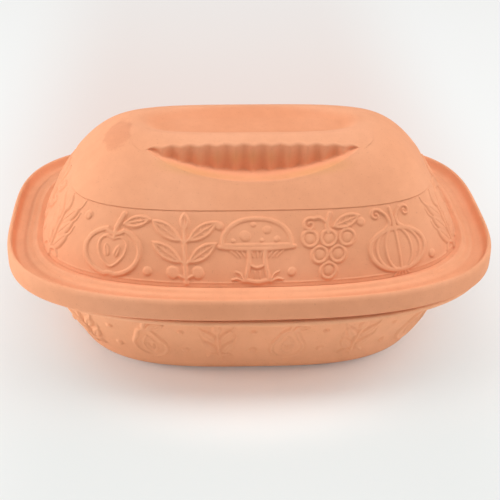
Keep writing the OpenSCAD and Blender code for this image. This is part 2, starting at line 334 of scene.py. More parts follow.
def polyline(x, y, points, wide, wide_end):
    """Signed distance to a line through points, whose width runs from one value to the other."""
    points = np.asarray(points, float)
    seg = np.hypot(*np.diff(points, axis=0).T)
    run = np.concatenate([[0], np.cumsum(seg)])
    best = np.full_like(x, 1e9)
    for i in range(len(points) - 1):
        a, d = points[i], points[i + 1] - points[i]
        u = np.clip(((x - a[0]) * d[0] + (y - a[1]) * d[1]) / max(seg[i] ** 2, 1e-9), 0, 1)
        w = mix(wide, wide_end, (run[i] + u * seg[i]) / run[-1])
        best = np.minimum(best, np.hypot(x - a[0] - u * d[0], y - a[1] - u * d[1]) - w / 2)
    return best


def curve(points, n=6):
    """A smooth curve through the points."""
    p = np.asarray(points, float)
    p = np.vstack([2 * p[0] - p[1], p, 2 * p[-1] - p[-2]])
    out = []
    for i in range(1, len(p) - 2):
        for u in np.arange(n) / n:
            out.append(0.5 * (2 * p[i] + (p[i + 1] - p[i - 1]) * u
                              + (2 * p[i - 1] - 5 * p[i] + 4 * p[i + 1] - p[i + 2]) * u * u
                              + (3 * p[i] - p[i - 1] - 3 * p[i + 1] + p[i + 2]) * u ** 3))
    out.append(p[-2])
    return np.array(out)


def arc(cx, cy, rx, ry, a0, a1, n=18):
    a = np.radians(np.linspace(a0, a1, n))
    return np.stack([cx + rx * np.cos(a), cy + ry * np.sin(a)], axis=-1)


def curl(cx, cy, r, a0, turns, n=26):
    """A scroll that winds inwards."""
    u = np.linspace(0, 1, n)
    a = np.radians(a0) + turns * 2 * math.pi * u
    r = r * (1 - 0.82 * u)
    return np.stack([cx + r * np.cos(a), cy + r * np.sin(a)], axis=-1)


def line(x, y, points, wide=LINE, wide_end=None, high=1.0):
    """A raised line through points."""
    return high * solid(polyline(x, y, points, wide, wide if wide_end is None else wide_end))


def stroke(x, y, points, *how, **named):
    """A raised line along the smooth curve through points."""
    return line(x, y, curve(points), *how, **named)


def disc(x, y, cx, cy, d):
    return np.hypot(x - cx, y - cy) - d / 2


def ellipse(x, y, cx, cy, a, b):
    px, py = x - cx, y - cy
    k0 = np.hypot(px / a, py / b)
    k1 = np.hypot(px / a ** 2, py / b ** 2) + 1e-9
    return k0 * (k0 - 1) / k1


def local(x, y, cx, cy, turn):
    """Places as seen from a centre, with the first way turned by so many degrees."""
    c, s = math.cos(math.radians(turn)), math.sin(math.radians(turn))
    return (x - cx) * c + (y - cy) * s, -(x - cx) * s + (y - cy) * c


# The parts of the figures
def leaf(x, y, cx, cy, turn, long, wide, veins=3):
    """A leaf with a raised edge, a midrib and slanting veins over a sunk blade."""
    u, v = local(x, y, cx, cy, turn)
    r = (long ** 2 + wide ** 2) / (4 * wide)
    d = np.hypot(u, np.abs(v) + r - wide / 2) - r
    rib = np.abs(v) - mix(0.75, 0.4, np.clip(u / long + 0.5, 0, 1))
    h = top(0.42 * solid(d), solid(np.abs(d + 0.75) - 0.75, 0.4),
            0.9 * solid(rib, 0.35) * solid(np.abs(u) - long / 2, 0.4))
    if veins:
        gap = long / (veins + 2)
        phase = (u - np.abs(v) * 0.9 + 50 * long) % gap
        vein = np.abs(phase - gap / 2) - 0.42
        h = top(h, 0.78 * solid(vein, 0.35) * solid(d + 1.0, 0.4))
    return h


def grain(x, y, cx, cy, turn, long, wide):
    """A plump grain, thick at its base, with a crease along it."""
    u, v = local(x, y, cx, cy, turn)
    w = np.clip(u / long + 0.5, 0, 1)
    off = 2 * np.abs(w - 0.40) / np.where(w > 0.40, 1.2, 0.8)
    half = wide / 2 * np.sqrt(np.clip(1 - off ** 2, 0, 1))
    d = np.maximum(np.abs(v) - half, np.abs(u) - long / 2)
    h = 0.35 * solid(d, 0.45) + 0.65 * mound(d, wide * 0.36)
    return h * (1 - 0.55 * solid(np.abs(v) - 0.25, 0.35) * smooth((0.92 - w) * 8))


def berry(x, y, cx, cy, d):
    e = disc(x, y, cx, cy, d)
    return 0.4 * solid(e, 0.45) + 0.6 * mound(e, d * 0.4)


def stud(x, y, d):
    e = disc(x, y, 0, 0, d)
    return 0.25 * solid(e) + 0.75 * mound(e, d * 0.42)


# The figures
def sprig(x, y):
    h = line(x, y, [(0, -18.5), (0, 14)], 2.4, 1.8)
    for up in (0, 12):
        for side in SIDES:
            stem = [(0, -9 + up), (side * 1.6, -7.4 + up), (side * 3, -6.2 + up)]
            h = top(h, leaf(x, y, side * 10, -2 + up, 90 - side * 55, 19.5, 7.6),
                    stroke(x, y, stem, 1.6))
    h = top(h, leaf(x, y, 0, 15.2, 90, 10, 5, 0))
    for side in SIDES:
        h = top(h, berry(x, y, side * 7, -13, 7),
                line(x, y, [(0, -16.5), (side * 4, -14.5)], 1.5))
    return h


def wheat(x, y, rows=3):
    h = stroke(x, y, [(0.6, -18.5), (-0.3, -6), (0, 4), (0, 11)], 2.1, 1.7)
    for i in range(rows):
        cy = 12 - 24 * (i + 0.5) / rows
        for side in SIDES:
            turn = 90 - side * 35
            tx = side * 6.5 + 5.5 * math.cos(math.radians(turn))
            ty = cy + 5.5 * math.sin(math.radians(turn))
            awn = [(tx, ty), (tx + side * 2.4, ty + 3.6), (tx + side * 3.0, ty + 7.5)]
            h = top(h, grain(x, y, side * 6.5, cy, turn, 13.6, 6.6),
                    stroke(x, y, awn, 1.2, 0.5, 0.7))
    h = top(h, grain(x, y, 0, 13.6, 90, 10.5, 6.2), line(x, y, [(0, 18), (0, 20)], 1.1, 0.5, 0.7))
    for side in SIDES:
        h = top(h, stroke(x, y, [(0, -15), (side * 5, -13.5), (side * 8.5, -16.5)], 2.0, 0.9))
    return h


def apple(x, y):
    d = ellipse(x, y, 0, -4, 17, 14)
    d = np.maximum(d, -ellipse(x, y, 0, 11.5, 5.0, 4.4))
    d = np.maximum(d, -ellipse(x, y, 0, -19.6, 3.4, 2.4))
    core = [(0, 3.0), (4.6, 4.2), (8.0, 0.5), (6.6, -6.5), (0, -12.5), (-6.6, -6.5), (-8.0, 0.5),
            (-4.6, 4.2), (0, 3.0)]
    h = top(outlined(d), stroke(x, y, core, 1.5, high=0.85))
    for side in SIDES:
        h = top(h, grain(x, y, side * 3.0, -3.6, 90 - side * 16, 7.0, 3.4))
    return top(h, stroke(x, y, [(0, 3.5), (0.4, 10), (3, 17.5)], 2.0, 2.8),
               leaf(x, y, 11.0, 14.0, 15, 15.5, 6.8))


def mushroom(x, y):
    cap = np.maximum(ellipse(x, y, 0, 1, 20, 17), 1 - y)
    brim = [(-20.6, 1.2), (-10, 0.2), (0, 0), (10, 0.2), (20.6, 1.2)]
    h = top(outlined(cap, 1.1), stroke(x, y, brim, 2.3))
    for cx, cy, d in ((-6, 7.2, 6.2), (5.2, 10.6, 4.6), (10.6, 5.4, 3.6), (-1.4, 13.6, 2.8),
                      (-12.6, 4.6, 2.6), (2.6, 4.8, 2.4)):
        h = top(h, berry(x, y, cx, cy, d))
    for i in range(-5, 6):
        h = top(h, line(x, y, [(i * 2.9, -1.2), (i * 2.3, -4.4)], 1.0, 0.6, 0.75))
    h = top(h, stroke(x, y, [(-8.4, -17.2), (0, -18.4), (8.4, -17.2)], 2.2),
            stroke(x, y, [(-5, -8.8), (0, -10.4), (5, -8.8)], 1.5, high=0.85))
    for cx in (-2.0, 1.6):
        h = top(h, line(x, y, [(cx, -12.6), (cx * 1.3, -16)], 1.0, 0.8, 0.7))
    for side in SIDES:
        stalk = [(side * 4.6, -1), (side * 5.0, -8), (side * 8, -17)]
        blade = [(side * 9, -18), (side * 11, -14), (side * 13.5, -12.6)]
        low_blade = [(side * 9.5, -18), (side * 13, -16.5), (side * 16.5, -17)]
        h = top(h, stroke(x, y, stalk, 2.1), stroke(x, y, blade, 1.6, 0.8),
                stroke(x, y, low_blade, 1.6, 0.8))
    return h


def grapes(x, y):
    h = np.zeros_like(x)
    for row in range(3):
        for i in range(row + 1):
            e = disc(x, y, (i - row / 2) * 10.5, -13 + row * 9, 10.2)
            h = top(h, 0.3 * solid(e), solid(np.abs(e + 0.8) - 0.8, 0.42),
                    0.92 * mound(e + 2.1, 2.6))
    return top(h, stroke(x, y, [(0, 8.5), (-0.4, 13), (1.4, 18.5)], 2.6, 2.2),
               leaf(x, y, 10.4, 14, 20, 17, 7.6),
               stroke(x, y, [(-0.2, 13), (-4, 16.5), (-8, 16.2)], 1.6),
               line(x, y, curl(-10.0, 12.8, 3.9, 65, 1.25), 1.5, 1.2))


def onion(x, y):
    h = outlined(ellipse(x, y, 0, -5, 18.4, 13))
    for rx in (8.0, 13.4):
        h = top(h, line(x, y, arc(0, -5, rx, 12.2, 112, 248), 1.6, high=0.9),
                line(x, y, arc(0, -5, rx, 12.2, 68, -68), 1.6, high=0.9))
    h = top(h, line(x, y, [(0, -16), (0, 6)], 1.5, high=0.9))
    for side in SIDES:
        shoot = [(side * 5.5, 6.6), (side * 2.6, 9.6), (side * 2.8, 14), (side * 6.4, 18.2)]
        tendril = curl(side * 9.2, 15.6, 3.4, 90 + side * 60, -1.15 * side)
        h = top(h, stroke(x, y, shoot, 2.2, 1.6), line(x, y, tendril, 1.4, 1.1))
    h = top(h, stroke(x, y, [(0, 6), (0.2, 12), (0, 18.5)], 2.6, 1.6))
    for i in range(-2, 3):
        h = top(h, line(x, y, [(i * 1.4, -17.6), (i * 2.4, -19.6)], 1.1, 0.7, 0.7))
    return h


def pear(x, y):
    core = [(0, 4.2), (4.2, -3.5), (3.6, -10.5), (0, -13.5), (-3.6, -10.5), (-4.2, -3.5), (0, 4.2)]
    h = top(outlined(soft_min(disc(x, y, 0, -7, 24.5), disc(x, y, 0, 6, 12.6), 7.0)),
            stroke(x, y, core, 1.4, high=0.85))
    for side in SIDES:
        h = top(h, grain(x, y, side * 1.7, -7.4, 90 - side * 8, 6.2, 2.6))
    return top(h, stroke(x, y, [(0, 10), (0.5, 14), (2.6, 18.5)], 2.0, 2.8),
               leaf(x, y, 8.6, 14.2, 20, 14.5, 6.6))


LID_KINDS = (sprig, wheat, apple, sprig, mushroom, grapes, onion, wheat)


# A wall with figures on it: h is the height of its relief, from 0 to 1
def around(share, where, lengths):
    """Distance along each row from one place to all the others, the short way round."""
    return ((share[None, :] - where + 0.5) % 1.0 - 0.5) * lengths[:, None]


def stamp(h, near, figure, x, y, *how):
    """Raises a figure on the heights h, where near is true."""
    if near.any():
        h[near] = np.maximum(h[near], figure(x[near], y[near], *how))


# The lid
def lid_top():
    """Shoulder, finger recesses, crest and dish, in rows that run in from the frieze's edge.

    A place on the shoulder is a share of the way along its column's ray, which runs from the
    crest's oval, 0, out to the frieze's, 1.
    """
    cols = 960
    angle = even_angles(cols, dome_half(FRIEZE), dome_power(FRIEZE))
    start = np.stack(oval(angle, CREST, CREST_POWER), axis=-1)
    ray = np.stack(oval(angle, dome_half(FRIEZE), dome_power(FRIEZE)), axis=-1) - start
    length = np.hypot(ray[:, 0], ray[:, 1])
    rows = []

    def at(share):
        p = start + ray * share[:, None]
        return p[:, 0], p[:, 1]

    def last(inside, low):
        """Largest share at which a place is still inside, by bisection outwards from low."""
        high = np.ones(cols)
        for _ in range(40):
            share = (low + high) / 2
            yes = inside(*at(share))
            low, high = np.where(yes, share, low), np.where(yes, high, share)
        return (low + high) / 2

    wall = last(lambda x, y: on_grip(x, y, FLUTE), np.zeros(cols))
    brow = last(lambda x, y: on_grip(x, y, FLUTE * BROW), np.zeros(cols))
    # how deep the recess is at its wall; cut is 1 along the recess and 0 where there is none
    drop = dome_z(*at(wall)) - scoop_z(*at(wall))
    cut = smooth(drop - 0.1)
    r_top = np.clip(drop / 2.3, 0.35, TOP_ROUND)
    r_low = np.clip(drop / 2.3, 0.35, LOW_ROUND)
    # the lip, where the recess's floor runs out through the dome
    lip = np.clip(last(lambda x, y: scoop_z(x, y) < dome_z(x, y), wall),
                  wall + (r_low + LIP_REACH + 0.6) / length, 1 - 6.0 / length)
    lip_out, lip_in = lip + LIP_REACH / length, lip - LIP_REACH / length
    foot, brow_in = wall + r_low / length, brow - r_top / length
    z_low, z_top = scoop_z(*at(foot)), dome_z(*at(brow_in))

    def put(share, z):
        rows.append(ring(*at(share), z))

    def on_dome(share):
        return dome_z(*at(share))

    def on_floor(share):
        """Height of the dome or of the recess's floor, with a low bead along the lip."""
        a, b = dome_z(*at(share)), scoop_z(*at(share))
        return soft_min(a, b, 1.3) + LIP_BEAD * cut * np.exp(-((a - b) / 0.9) ** 2)

    def across(outer, inner, places):
        for u in places:
            share = mix(inner, outer, u)
            put(share, on_floor(share))

    # a step up from the frieze, over the shoulder to the lip, and down to the wall's foot
    for share, out in ((0.965, -1.3), (0.981, -0.80), (0.984, -0.62), (0.988, -0.34),
                       (0.992, -0.12), (0.997, -0.02)):
        rows.append(dome_ring(angle, FRIEZE * share, out))
    edge = np.ones(cols)
    put(edge, on_dome(edge))
    across(edge, lip_out, np.linspace(1, 0, 24)[1:])
    across(lip_out, lip_in, np.linspace(1, 0, 13)[1:])
    across(lip_in, foot, np.linspace(1, 0, 9)[1:-1])
    # up the fluted wall and over its brow
    for up, out in quarter(r_low, 7):
        share = wall + (out + DRAFT) / length
        put(share, mix(on_floor(share), z_low + up, cut))
    for u in (0.15, 0.3, 0.45, 0.6, 0.75, 0.9):
        share = mix(wall, brow, smooth(u)) + DRAFT * (1 - u) / length
        put(share, mix(on_floor(share), mix(z_low + r_low, z_top - r_top, u), cut))
    for inwards, below in quarter(r_top, 9):
        share = brow - inwards / length
        put(share, mix(on_dome(share), z_top - below, cut))
    # over the grip to the crest, and down into the dish
    for u in np.linspace(1, 0, 12)[1:]:
        put(brow_in * u, on_dome(brow_in * u))
    for d in (0.8, 1.8, 2.9, 4.0, 5.1, 6.2, 7.3, 8.4, 9.5, 10.6, 11.8, DISH_RUN):
        z = CREST_Z - DISH_DEEP * smooth(d / DISH_RUN)
        rows.append(ring(*oval(angle, CREST - d, CREST_POWER), z))
    for u in (0.85, 0.7, 0.55, 0.4, 0.25, 0.1):
        z = CREST_Z - DISH_DEEP - DISH_SAG * (1 - u * u)
        rows.append(ring(*oval(angle, (CREST - DISH_RUN) * u, CREST_POWER), z))
    p = turned(np.concatenate(rows + [np.array([[0, 0, CREST_Z - DISH_DEEP - DISH_SAG]])]))
    from_nick = np.linalg.norm(p - np.array(NICK), axis=1)
    p[:, 2] -= NICK_DEEP * smooth(1 - from_nick / NICK_REACH)
    return p, grid(len(rows), cols), fan((len(rows) - 1) * cols, cols, len(p) - 1)


def lid_rim():
    """Hollow, locating ridge, seat, edge, channel and low ridges, in rows that run outwards from
    the hollow's top, round the edge and in to the dome."""
    cols = 640
    angle = even_angles(cols, RIM, RIM_POWER)
    inner = DOME - LID_WALL
    rows = []
    for u in np.linspace(0.0, 1.0, 20)[2:]:
        p = dome_ring(angle, 1 - u ** 1.6, 0.0, inner, INNER_TOP)
        under_recess = np.minimum(p[:, 2], scoop_z(p[:, 0], p[:, 1], LID_WALL))
        p[:, 2] = np.where(np.abs(p[:, 1]) > GRIP - LID_WALL, under_recess, p[:, 2])
        rows.append(p)
    rows.insert(0, ring(rows[0][:, 0] * 0.55, rows[0][:, 1] * 0.55, INNER_TOP))
    # the hollow's wall goes over from the dome's oval to the pot's
    neck = LOCATING_Z + 0.8
    for z in (DOME_Z, 78.0, 74.0, 70.0, neck):
        w = (DOME_Z - z) / (DOME_Z - neck)
        power = mix(np.array(RIM_POWER), np.array(BODY_POWER), w)
        rows.append(ring(*oval(angle, mix(inner, HOLLOW, smooth(w * 1.2)), power), z))
    for half, z in ((HOLLOW + 0.3, LOCATING_Z + 0.25), (HOLLOW + 1.0, LOCATING_Z),
                    (LOCATING - 2.0, LOCATING_Z), (LOCATING - 1.2, LOCATING_Z + 0.25),
                    (LOCATING - 0.9, LOCATING_Z + 1.0), (LOCATING - 0.2, SEAT_Z - 0.8),
                    (LOCATING, SEAT_Z)):
        rows.append(ring(*oval(angle, half, BODY_POWER), z))
    # the rim's crest runs parallel to its edge, and the channel turns into the dome's oval
    edge_x, edge_y = oval(angle, RIM, RIM_POWER)
    out_x = np.roll(edge_y, -1) - np.roll(edge_y, 1)
    out_y = np.roll(edge_x, 1) - np.roll(edge_x, -1)
    size = np.hypot(out_x, out_y)
    plain = smooth((PLAIN_TO - np.abs(edge_x)) / PLAIN_FADE) * PLAIN_SHARE
    for d, z in RIM_SECTION:
        x, y = oval(angle, mix(RIM, DOME, d / SECTION_RUN), RIM_POWER)
        w = smooth((d - PARALLEL_TO) / PARALLEL_FADE)
        x = mix(edge_x - out_x / size * d, x, w)
        y = mix(edge_y - out_y / size * d, y, w)
        rows.append(ring(x, y, z + mix(np.interp(d, *zip(*RIDGES)), 0.0, plain)))
    # two rows that tuck in behind the frieze's lower edge
    rows.append(dome_ring(angle, SPAN[0] * FRIEZE, -SINK - 0.02))
    rows.append(dome_ring(angle, SPAN[0] * FRIEZE * 4.0, -SINK - 0.7))
    p = np.concatenate(rows + [np.array([[0, 0, INNER_TOP]])])
    return turned(p), grid(len(rows), cols), fan(0, cols, len(p) - 1, up=False)


def lid_frieze(half):
    """One long side of the frieze: its ground with the figures raised on it."""
    mid = FRIEZE / 2
    total, rows = 1640, 104
    place = np.arange(total // 2 + 1) + half * (total // 2)
    angle = even_angles(total, dome_half(mid), dome_power(mid))[place % total]
    levels = mix(SPAN[0], SPAN[1], np.linspace(0, 1, rows)) * FRIEZE
    p = np.stack([dome_ring(angle, t, -sink(t)) for t in levels])
    lengths = np.array([girth(dome_half(t), dome_power(t)) for t in levels])
    up = climb(p)
    y = above(mid, levels, up)
    h = np.zeros_like(y)
    size = LID_FIGURE / DRAWN
    for i in range(FIGURES):
        x = around(place / total, i / FIGURES, lengths)
        stamp(h, np.abs(x) < 27 * size, LID_KINDS[i % len(LID_KINDS)], x / size, y / size)
        x = around(place / total, (i + 0.5) / FIGURES, lengths)
        stud_y = (-1 if i % 2 == 0 else 1) * LID_FIGURE * 0.36
        stamp(h, (np.abs(x) < 6) & (np.abs(y - stud_y) < 6), stud, x, y - stud_y, LID_STUD)
    h = np.maximum(h, solid(np.abs(up - FOOT_LINE) - 0.3) * FOOT_LINE_HIGH)
    fade = smooth(up / 0.9) * smooth((up[-1][None, :] - up) / 0.9)
    p = raised(p, h * fade * LID_RELIEF, closed=False)
    return turned(p.reshape(-1, 3)), grid(rows, len(place), closed=False), None


# The pot
def body_half(z):
    return mix(FOOT, BODY, z / BODY_TOP)


def body_ring(angle, z, inset=0.0):
    return ring(*oval(angle, body_half(z) - inset, BODY_POWER), z)


def pot_wall():
    """The pot's flared wall with its frieze of low figures."""
    cols, rows = 1180, 84
    angle = even_angles(cols, body_half(POT_LEVEL), BODY_POWER)
    share = np.arange(cols) / cols
    levels = mix(WALL_LOW, WALL_HIGH, np.linspace(0, 1, rows))
    p = np.stack([body_ring(angle, z) for z in levels])
    lengths = np.array([girth(body_half(z), BODY_POWER) for z in levels])
    y = above(POT_LEVEL, levels, climb(p))
    h = np.zeros_like(y)
    size = POT_FIGURE / DRAWN
    for i in range(FIGURES):
        x = around(share, (i + 0.5) / FIGURES, lengths)
        figure, *how = (pear,) if i % 2 == 0 else (wheat, 2)
        stamp(h, np.abs(x) < 26 * size, figure, x / size, y / size, *how)
        x = around(share, i / FIGURES, lengths)
        for stud_y, d in POT_STUDS:
            stamp(h, (np.abs(x) < 6) & (np.abs(y - stud_y) < 6), stud, x, y - stud_y, d)
    return raised(p, h * POT_RELIEF, closed=True).reshape(-1, 3), grid(rows, cols), None


def pot_shell():
    """Foot, flange, mouth and inside of the pot, in two strips that the wall closes."""
    cols = 560
    angle = even_angles(cols, RIM, RIM_POWER)
    flange_top = SEAT_Z - 3.2
    low_rows, rows = [], []

    def body(z, inset=0.0):
        return body_ring(angle, z, inset)

    def flange(inset, z):
        x, y = oval(angle, FLANGE - inset, FLANGE_POWER)
        return ring(x + FLANGE_SHIFT[0], y + FLANGE_SHIFT[1], z)

    def mouth(out, z):
        return ring(*oval(angle, MOUTH + out, BODY_POWER), z)

    # the foot, which is raised a little inside its edge, and the start of the wall
    for u in (0.15, 0.5, 0.85, 0.96, 1.0):
        half = (FOOT - FOOT_ROUND) * u
        z = FOOT_RISE * (1 - smooth((u - 0.8) / 0.2))
        low_rows.append(ring(*oval(angle, half, BODY_POWER), z))
    low_rows += [body(up, inset) for up, inset in quarter(FOOT_ROUND, 12)][1:]
    low_rows.append(body(WALL_LOW + 0.2))
    low_rows.append(body(WALL_LOW + 1.0, 0.3))
    # the end of the wall, and the flange's underside, edge and top
    rows.append(body(WALL_HIGH - 1.0, 0.3))
    rows.append(body(WALL_HIGH - 0.1))
    for out, below in [*quarter(2.6, 7)][1:]:
        rows.append(ring(*oval(angle, BODY + out, BODY_POWER), BODY_TOP - below))
    rows.append(flange(2.6, BODY_TOP))
    rows += [flange(inset, BODY_TOP + up) for up, inset in quarter(1.5, 6)]
    rows += [flange(inset, flange_top - below) for inset, below in quarter(1.6, 7)]
    rows.append(flange(9.0, SEAT_Z - 1.1))
    # the seat and the mouth
    rows.append(mouth(4.0, SEAT_Z))
    rows += [mouth(out, SEAT_Z - below) for below, out in quarter(1.2, 5)]
    rows.append(mouth(0.0, 66.0))
    rows.append(mouth(0.0, BODY_TOP))
    # the inside
    rows += [body(z, POT_WALL) for z in (50.0, 38.0, 30.0)]
    rows += [body(POT_FLOOR + up, POT_WALL + inset) for inset, up in quarter(FLOOR_ROUND, 10)]
    rows.append(ring(*oval(angle, (60.0, 35.0), BODY_POWER), POT_FLOOR))
    p = np.concatenate(low_rows + rows + [np.array([[0, 0, FOOT_RISE], [0, 0, POT_FLOOR]])])
    q = np.concatenate([grid(len(low_rows), cols), grid(len(rows), cols) + len(low_rows) * cols])
    last_row = (len(low_rows) + len(rows) - 1) * cols
    t = np.concatenate([fan(0, cols, len(p) - 2, up=False), fan(last_row, cols, len(p) - 1)])
    return p, q, t


# Shader nodes
def add_node(tree, kind, inputs, **settings):
    """A new node. Each of its inputs takes a value, or the output of another node."""
    node = tree.nodes.new(kind)
    for key, value in settings.items():
        setattr(node, key, value)
    for socket, value in inputs.items():
        if isinstance(value, bpy.types.NodeSocket):
            tree.links.new(value, node.inputs[socket])
        else:
            node.inputs[socket].default_value = value
    return node


def object_place(tree):
    return add_node(tree, "ShaderNodeTexCoord", {}).outputs["Object"]


def noise(tree, place, scale, detail, rough=0.6):
    inputs = {"Vector": place, "Scale": scale, "Detail": detail, "Roughness": rough}
    return add_node(tree, "ShaderNodeTexNoise", inputs).outputs[0]


def ramp(tree, value, stops):
    node = add_node(tree, "ShaderNodeValToRGB", {0: value})
    elements = node.color_ramp.elements
    while len(elements) < len(stops):
        elements.new(0.5)
    for element, (position, colour) in zip(elements, stops):
        element.position = position
        element.color = (*colour, 1)
    return node.outputs[0]


def blend(tree, share, a, b, kind="MULTIPLY"):
    inputs = {0: share, 6: a, 7: b}
    return add_node(tree, "ShaderNodeMix", inputs, data_type="RGBA", blend_type=kind).outputs[2]


def calc(tree, operation, *values, clamp=False):
    inputs = dict(enumerate(values))
    return add_node(tree, "ShaderNodeMath", inputs, operation=operation, use_clamp=clamp).outputs[0]


def length_of(tree, vector):
    return add_node(tree, "ShaderNodeVectorMath", {0: vector}, operation="LENGTH").outputs["Value"]


def step(tree, value, between, results, kind="SMOOTHSTEP"):
    """Goes from one result to the other as the value goes from one bound to the other."""
    inputs = {0: value, 1: between[0], 2: between[1], 3: results[0], 4: results[1]}
    return add_node(tree, "ShaderNodeMapRange", inputs, interpolation_type=kind).outputs[0]


def seen(tree):
    """1 for what the camera sees, also in gloss and through glass, and 0 for light on things."""
    path = add_node(tree, "ShaderNodeLightPath", {}).outputs
    direct = calc(tree, "ADD", path["Is Camera Ray"], path["Is Glossy Ray"], clamp=True)
    return calc(tree, "ADD", direct, path["Is Transmission Ray"], clamp=True)


def new_material(name, roughness, specular):
    """A material, its nodes and its shader."""
    material = bpy.data.materials.new(name)
    material.use_nodes = True
    shader = material.node_tree.nodes["Principled BSDF"]
    shader.inputs["Roughness"].default_value = roughness
    shader.inputs["Specular IOR Level"].default_value = specular
    return material, material.node_tree, shader


def lin(r, g, b):
    """A colour as it is seen on a screen, 0 to 255, in the linear values of a shader."""
    return tuple(((c / 255 + 0.055) / 1.055) ** 2.4 for c in (r, g, b))


# Unglazed clay. A mark is a soft-edged ellipsoid of another shade: its middle, its reach and its
# turn in degrees, the shade, where it fades as a share of its reach, and how patchy its edge is.
# The smudge on the lid is a stain on the clay; the lid's other marks are painted light and shade.
# Painted shade in the finger recesses: darker and more orange, as the clay looks in their shade
RECESS_PAINTED_SHADE, PAINTED_SHADE_REACH = (0.93, 0.95, 0.80), (74, 13.5, 12)
LID_MARKS_AND_PAINTED_LIGHT = (
    # the smudge on the dome, and painted shade in the nick in the crest
    (SMUDGE, (11.5, 20, 14), -8, (0.92, 0.86, 0.84), (0.75, 1.02), 0.9),
    (NICK, (2.2, 2.2, 2.2), 0, (0.45, 0.38, 0.34), (0.4, 1.0), 0.0),
    # painted light, paler round the crest where most light falls, and painted shade, darker in the
    # dish and the recesses where shade falls
    ((0, 0, 158), (112, 54, 15), 0, (1.02, 1.045, 1.085), (0.5, 1.1), 0.0),
    ((0, 3, 152), (88, 24, 40), 0, (0.945, 0.845, 0.775), (0.72, 0.98), 0.06),
    ((0, -44, 146), PAINTED_SHADE_REACH, 0, RECESS_PAINTED_SHADE, (0.65, 1.0), 0.0),
    ((0, 44, 146), PAINTED_SHADE_REACH, 0, RECESS_PAINTED_SHADE, (0.65, 1.0), 0.0))
LID_TINTS = (lin(231, 160, 120), lin(236, 165, 125), lin(240, 171, 132))
# The pot's tints are paler than the lid's: painted light, standing in for the light that the floor
# throws up onto the pot
POT_TINTS_AND_PAINTED_LIGHT = (lin(241, 174, 133), lin(245, 179, 137), lin(248, 184, 144))
WHITE = (1.0, 1.0, 1.0)


def clay_material(name, tints, marks_and_painted_light=()):
    """Clay with clouds of tone, mottling, dark grit and a fine grain, and the marks given, some of
    which are painted light and shade.
    """
    material, tree, shader = new_material(name, 0.92, 0.25)
    place = object_place(tree)
    colour = ramp(tree, noise(tree, place, 14.0, 3.0, 0.55), [*zip((0.30, 0.52, 0.75), tints)])
    mottle = ramp(tree, noise(tree, place, 130.0, 4.0),
                  [(0.30, (0.955, 0.945, 0.94)), (0.70, WHITE)])
    colour = blend(tree, 1.0, colour, mottle)
    grit = ramp(tree, noise(tree, place, 900.0, 2.0, 0.5),
                [(0.27, (0.86, 0.82, 0.80)), (0.36, WHITE)])
    colour = blend(tree, 0.7, colour, grit)
    for middle, reach, turn, shade, fade, patchy in marks_and_painted_light:
        inputs = {"Vector": place,
                  "Location": [c / 1000 for c in middle],
                  "Rotation": (0, 0, math.radians(turn)),
                  "Scale": [c / 1000 for c in reach]}
        there = add_node(tree, "ShaderNodeMapping", inputs, vector_type="TEXTURE").outputs[0]
        away = calc(tree, "MULTIPLY_ADD", noise(tree, place, 120.0, 3.0), patchy,
                    length_of(tree, there))
        share = step(tree, away, [f + patchy / 2 for f in fade], (1.0, 0.0))
        colour = blend(tree, share, colour, (*shade, 1))
    tree.links.new(colour, shader.inputs["Base Color"])
    relief = calc(tree, "MULTIPLY_ADD", noise(tree, place, 60.0, 2.0, 0.5), 2.2,
                  noise(tree, place, 1500.0, 3.0))
    bump = add_node(tree, "ShaderNodeBump",
                    {"Strength": 0.35, "Distance": 0.00012, "Height": relief})
    tree.links.new(bump.outputs[0], shader.inputs["Normal"])
    return material


# The floor's glow, in metres and in linear colours. Round the pot's foot, whose contact shadow
# takes the ellipse SHADOW, it is weak, and it grows outwards to the studio's white.
FLOOR_HALF = 3.0
SHADOW = (0.090, 0.095)
GLOW_REACH, GLOW_SHARE = (0.95, 1.9), (0.12, 0.75)
GLOW_FAR = (0.8, 2.4)
GLOW_SIDE, SIDE_REACH = (0.935, 0.94, 0.93), (0.11, 0.27)
# along the middle, from the front to the back: a painted shadow, grey, in front of the pot, and
# painted orange light from its clay just behind it
GLOW_LINE = (-0.4, 1.6)
GLOW_MIDDLE_PAINTED_SHADE = ((0.0, (0.90, 0.90, 0.90)), (0.12, (0.76, 0.79, 0.775)), (0.25, (0.81, 0.70, 0.66)),
               (0.31, (0.825, 0.63, 0.565)), (0.48, (0.865, 0.78, 0.745)),
               (0.66, (0.90, 0.90, 0.90)))


